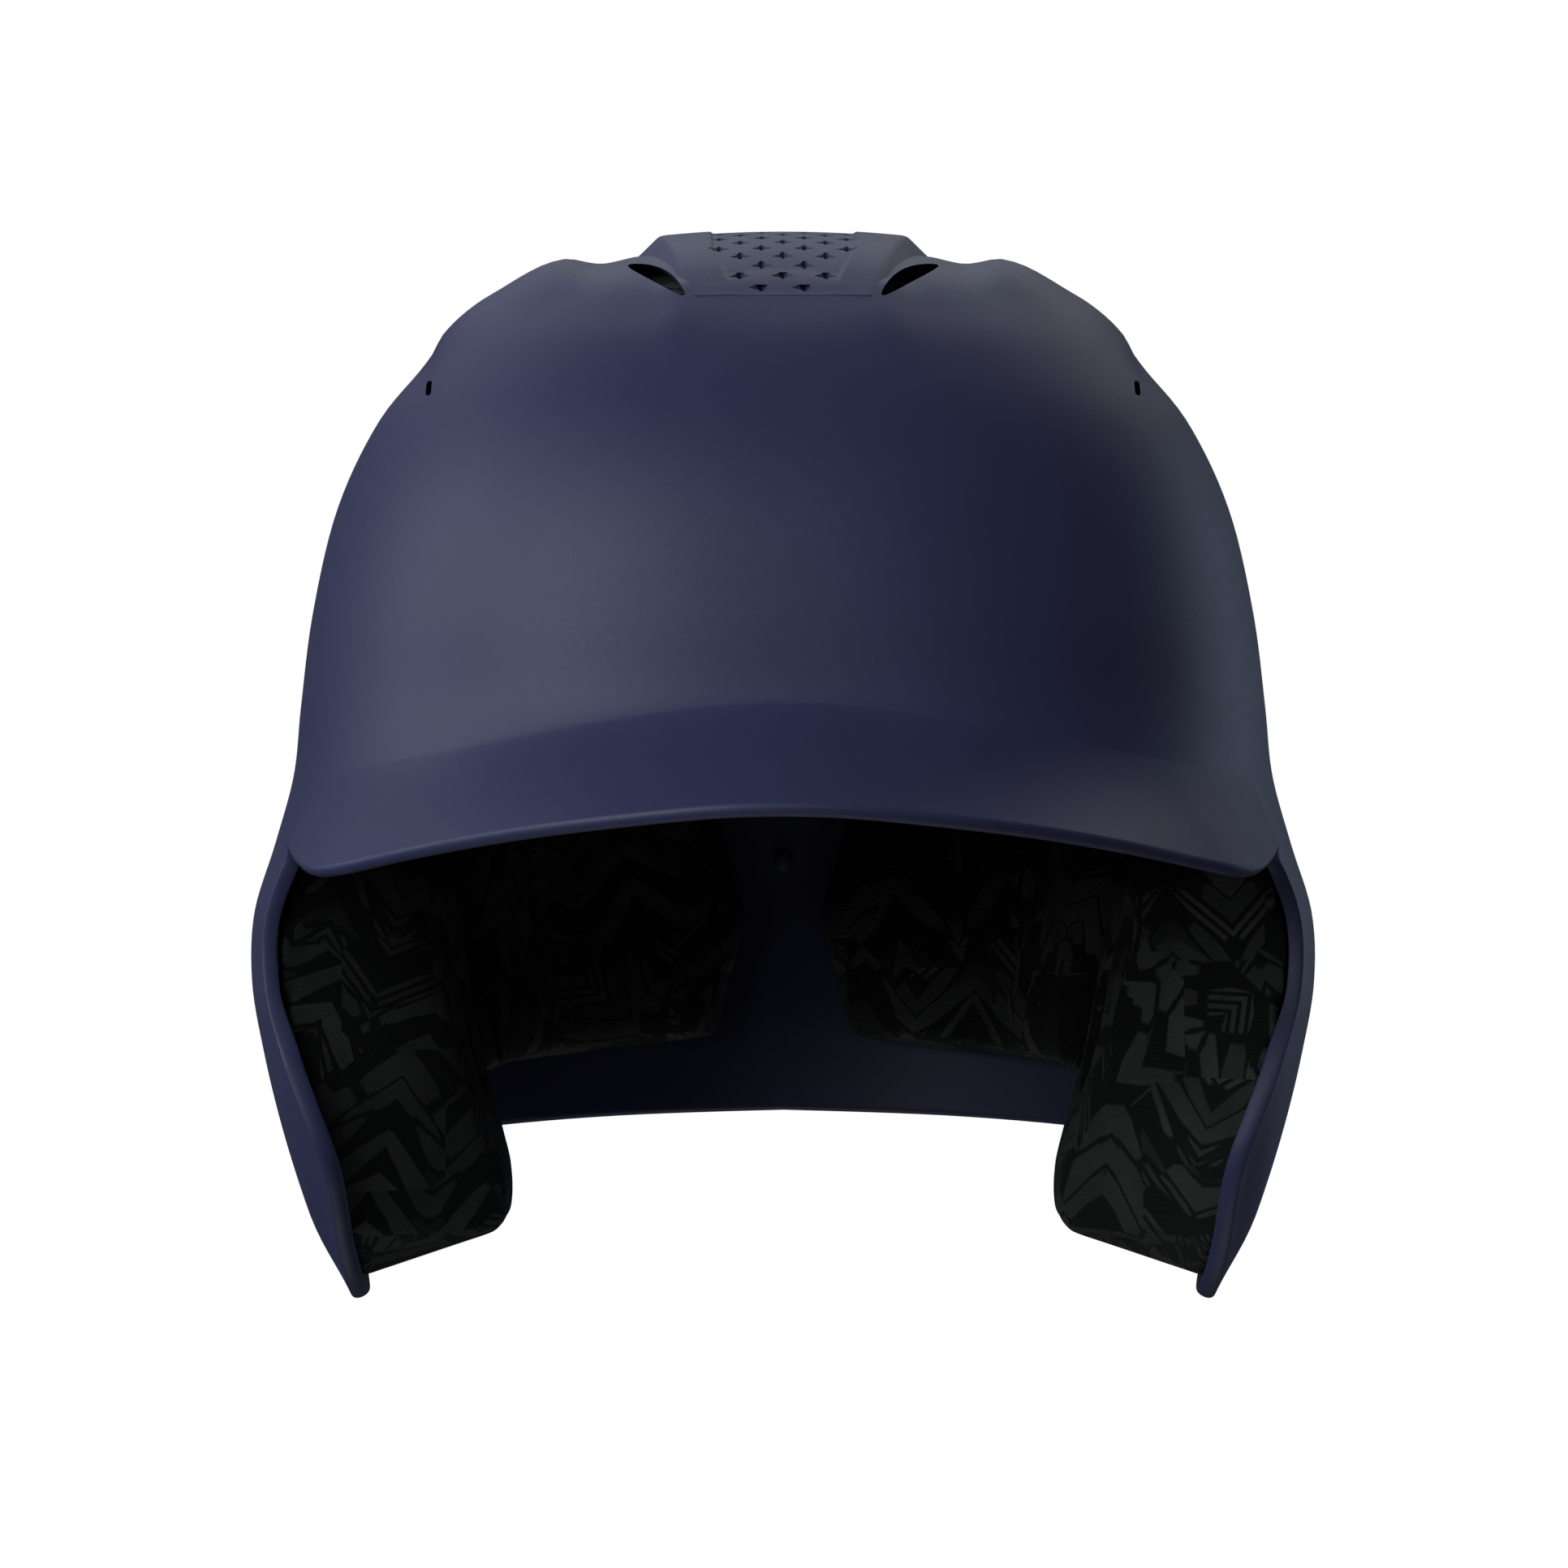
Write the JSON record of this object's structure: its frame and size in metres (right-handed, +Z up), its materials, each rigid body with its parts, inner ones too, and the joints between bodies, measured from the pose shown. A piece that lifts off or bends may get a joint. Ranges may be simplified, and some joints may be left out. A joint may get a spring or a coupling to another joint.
{
  "type": "batting helmet",
  "caption": "Batting helmet with a short brim, ear flaps over both ears, a raised vented crown ridge and fabric-covered foam pads held in by hook-and-loop patches.",
  "frame": {"origin": "under the middle of the helmet, at the height of the ear flaps' tips", "axes": "+Z up, -Y towards the brim (the wearer's front), +X towards the wearer's left"},
  "size_m": [0.2324, 0.2853, 0.2349],
  "materials": {
    "shell": "moulded ABS, matt navy",
    "firm_foam": "closed-cell impact foam, charcoal",
    "comfort_foam": "open-cell comfort foam, dark grey",
    "pad_fabric": "black knit with a charcoal print of angular shards",
    "hook_tape": "black woven hook tape",
    "loop_tape": "black brushed loop tape"
  },
  "bodies": {
    "root": {"outer_shell": "shell", "brow_firm_foam": "firm_foam", "brow_comfort_foam": "comfort_foam", "brow_cover": "pad_fabric", "crown_firm_foam": "firm_foam", "crown_comfort_foam": "comfort_foam", "crown_cover": "pad_fabric", "temple_left_firm_foam": "firm_foam", "temple_left_comfort_foam": "comfort_foam", "temple_left_cover": "pad_fabric", "temple_right_firm_foam": "firm_foam", "temple_right_comfort_foam": "comfort_foam", "temple_right_cover": "pad_fabric", "jaw_left_firm_foam": "firm_foam", "jaw_left_comfort_foam": "comfort_foam", "jaw_left_cover": "pad_fabric", "jaw_right_firm_foam": "firm_foam", "jaw_right_comfort_foam": "comfort_foam", "jaw_right_cover": "pad_fabric", "rear_left_firm_foam": "firm_foam", "rear_left_comfort_foam": "comfort_foam", "rear_left_cover": "pad_fabric", "rear_right_firm_foam": "firm_foam", "rear_right_comfort_foam": "comfort_foam", "rear_right_cover": "pad_fabric", "hook_patches": "hook_tape", "loop_patches": "loop_tape"}
  },
  "joints": []
}
